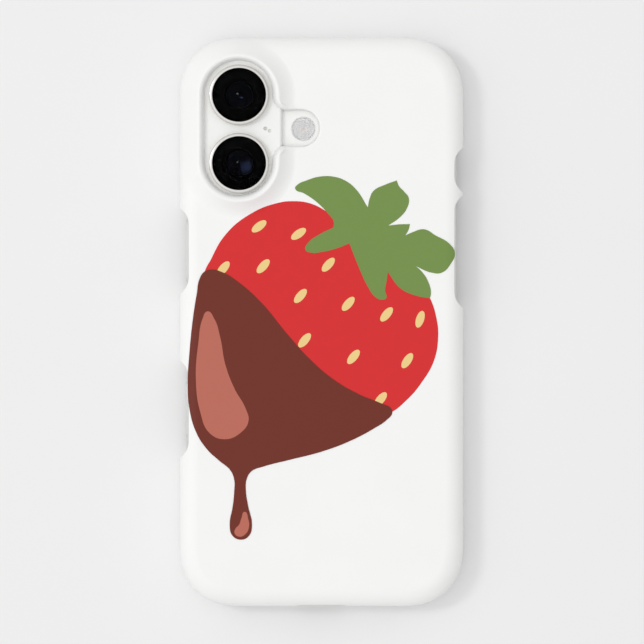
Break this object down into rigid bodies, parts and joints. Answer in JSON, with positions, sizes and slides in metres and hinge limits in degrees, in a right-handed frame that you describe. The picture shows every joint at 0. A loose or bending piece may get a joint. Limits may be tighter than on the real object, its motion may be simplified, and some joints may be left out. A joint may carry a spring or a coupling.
{
  "type": "smartphone in a printed snap case",
  "caption": "Slim smartphone lying screen down in a white hard case, its back printed with a strawberry dipped in chocolate, with sprung side keys.",
  "frame": {"origin": "under the middle of the case, on the surface its front lip rests on", "axes": "+Z out of the back of the case, +Y to the camera end, +X to the side with the volume keys; screen down"},
  "size_m": [0.0754, 0.1516, 0.0129],
  "materials": {
    "case": "smooth satin polycarbonate with a printed back",
    "frame": "fine blasted and anodised",
    "back_glass": "white glass with a fine matt surface",
    "screen": "black display under polished glass",
    "lens_metal": "polished ring",
    "lens_glass": "dark coated glass",
    "flash_lens": "clear moulded lens over a pale reflector",
    "flash_emitter": "amber coated light source",
    "keys": "fine blasted and anodised",
    "ink_red": "cured ink, the printed fruit",
    "ink_straw": "cured ink, the printed seeds",
    "ink_green": "cured ink, the printed leaves",
    "ink_brown": "cured ink, the printed coating",
    "ink_rose": "cured ink, the printed shine",
    "lens_black": "black mask and baffle inside each lens",
    "socket_black": "black moulded tongue and blackened gauze",
    "contact_gold": "gold plated contacts"
  },
  "bodies": {
    "handset": {"case_shell": "case", "phone_frame": "frame", "back_glass": "back_glass", "screen_glass": "screen", "camera_plateau": "back_glass", "lens_barrel_upper": "lens_metal", "lens_barrel_lower": "lens_metal", "lens_cover_upper": "lens_glass", "lens_cover_lower": "lens_glass", "flash_lens": "flash_lens", "flash_emitter": "flash_emitter"},
    "action_key": {"action_key": "keys"},
    "volume_up_key": {"volume_up_key": "keys"},
    "volume_down_key": {"volume_down_key": "keys"},
    "side_key": {"side_key": "keys"},
    "camera_key": {"camera_key": "keys"}
  },
  "joints": [
    {"name": "action_press", "type": "slide", "parent": "handset", "child": "action_key", "axis": [-1, 0, 0], "range_m": [0, 0.00025], "stiffness_N_per_m": 400, "springref_m": -0.004},
    {"name": "volume_up_press", "type": "slide", "parent": "handset", "child": "volume_up_key", "axis": [-1, 0, 0], "range_m": [0, 0.00025], "stiffness_N_per_m": 400, "springref_m": -0.004},
    {"name": "volume_down_press", "type": "slide", "parent": "handset", "child": "volume_down_key", "axis": [-1, 0, 0], "range_m": [0, 0.00025], "stiffness_N_per_m": 400, "springref_m": -0.004},
    {"name": "side_press", "type": "slide", "parent": "handset", "child": "side_key", "axis": [1, 0, 0], "range_m": [0, 0.00025], "stiffness_N_per_m": 400, "springref_m": -0.004},
    {"name": "camera_press", "type": "slide", "parent": "handset", "child": "camera_key", "axis": [1, 0, 0], "range_m": [0, 0.00025], "stiffness_N_per_m": 400, "springref_m": -0.004}
  ]
}
